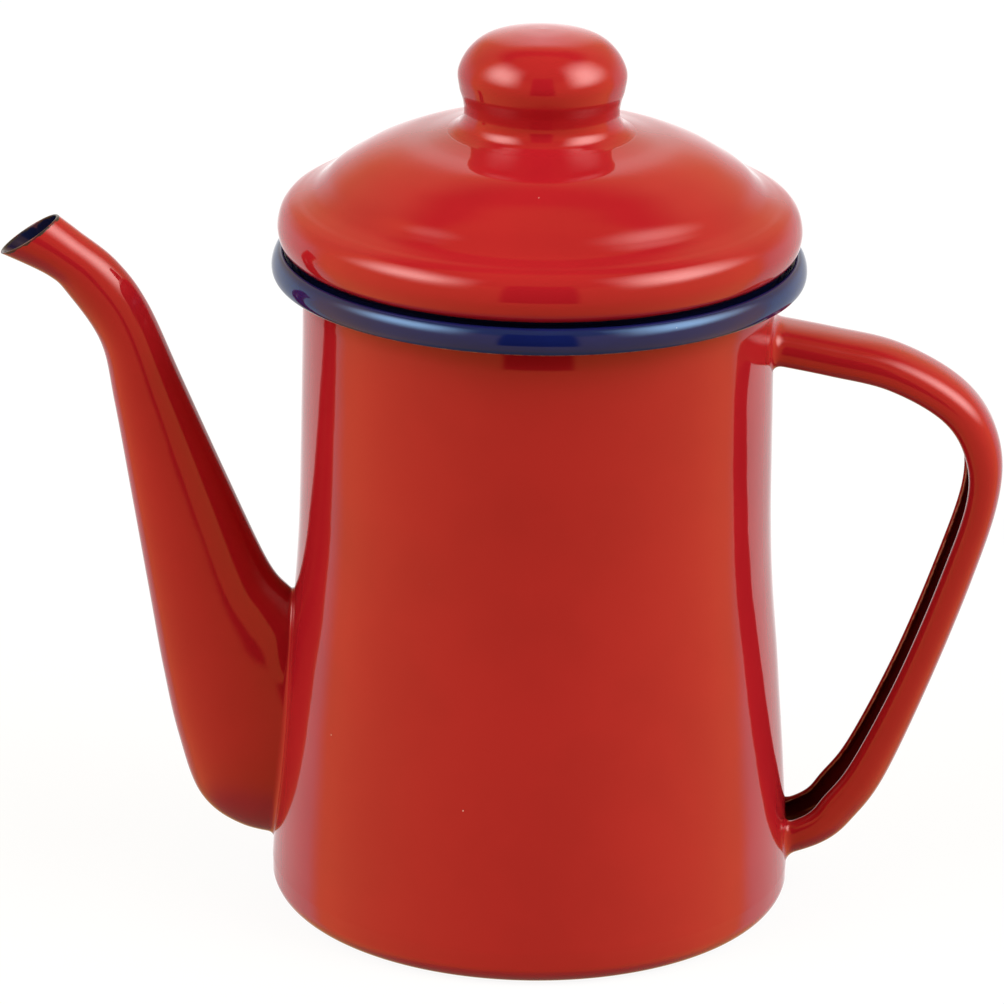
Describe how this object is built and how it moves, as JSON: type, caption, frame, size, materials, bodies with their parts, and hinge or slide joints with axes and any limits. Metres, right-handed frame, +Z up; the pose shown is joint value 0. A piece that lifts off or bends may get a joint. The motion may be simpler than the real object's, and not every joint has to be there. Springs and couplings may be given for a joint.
{
  "type": "enamel coffee pot",
  "caption": "Waisted enamelled steel coffee pot with gooseneck spout, open-channel handle, rolled dark rim and a lift-off domed lid with a ball knob.",
  "frame": {"origin": "middle of the underside of the base, on the surface that the pot stands on, on the axis of the round body", "axes": "+Z up along the axis of the body, +X towards the handle, -X towards the spout, the spout and handle both lying in the XZ plane"},
  "size_m": [0.2012, 0.1064, 0.1814],
  "materials": {
    "red_enamel": "gloss",
    "navy_enamel": "gloss"
  },
  "bodies": {
    "pot": {"base_pan": "red_enamel", "body_wall": "red_enamel", "mouth_ring": "navy_enamel", "spout_left_half": "red_enamel", "spout_right_half": "red_enamel", "handle": "red_enamel"},
    "lid": {"lid_shell": "red_enamel", "lid_collar": "navy_enamel", "lid_knob": "red_enamel"}
  },
  "joints": [
    {"name": "lid_lift", "type": "slide", "parent": "pot", "child": "lid", "axis": [0, 0, 1], "range_m": [0, 0.06]}
  ]
}
